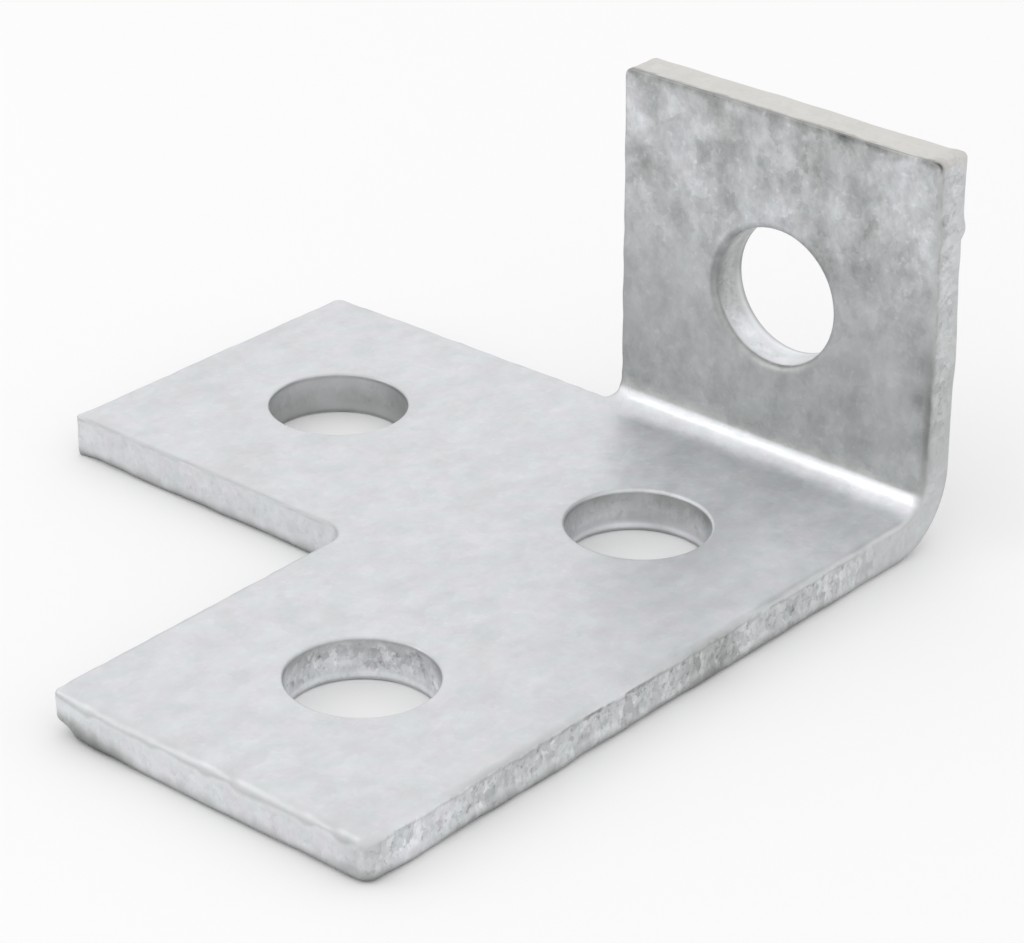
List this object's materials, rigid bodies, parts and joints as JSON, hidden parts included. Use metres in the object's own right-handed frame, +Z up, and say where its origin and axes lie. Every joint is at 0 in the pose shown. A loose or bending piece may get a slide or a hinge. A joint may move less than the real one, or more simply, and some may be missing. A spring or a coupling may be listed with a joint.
{
  "type": "corner brace",
  "caption": "Galvanised steel framing brace: a flat L-shaped base with bolt holes and an upright leg with a bolt hole, folded up from the corner.",
  "frame": {"origin": "centre of the corner bolt hole, on the underside of the base", "axes": "+Z up out of the base, +Y towards the folded upright, the front arm towards -Y and the left arm towards -X"},
  "size_m": [0.0809, 0.0889, 0.0432],
  "materials": {
    "galvanised_steel": "hot-dip zinc coat, matt and softly mottled, rougher on the punched edges"
  },
  "bodies": {
    "root": {"corner_brace": "galvanised_steel"}
  },
  "joints": []
}
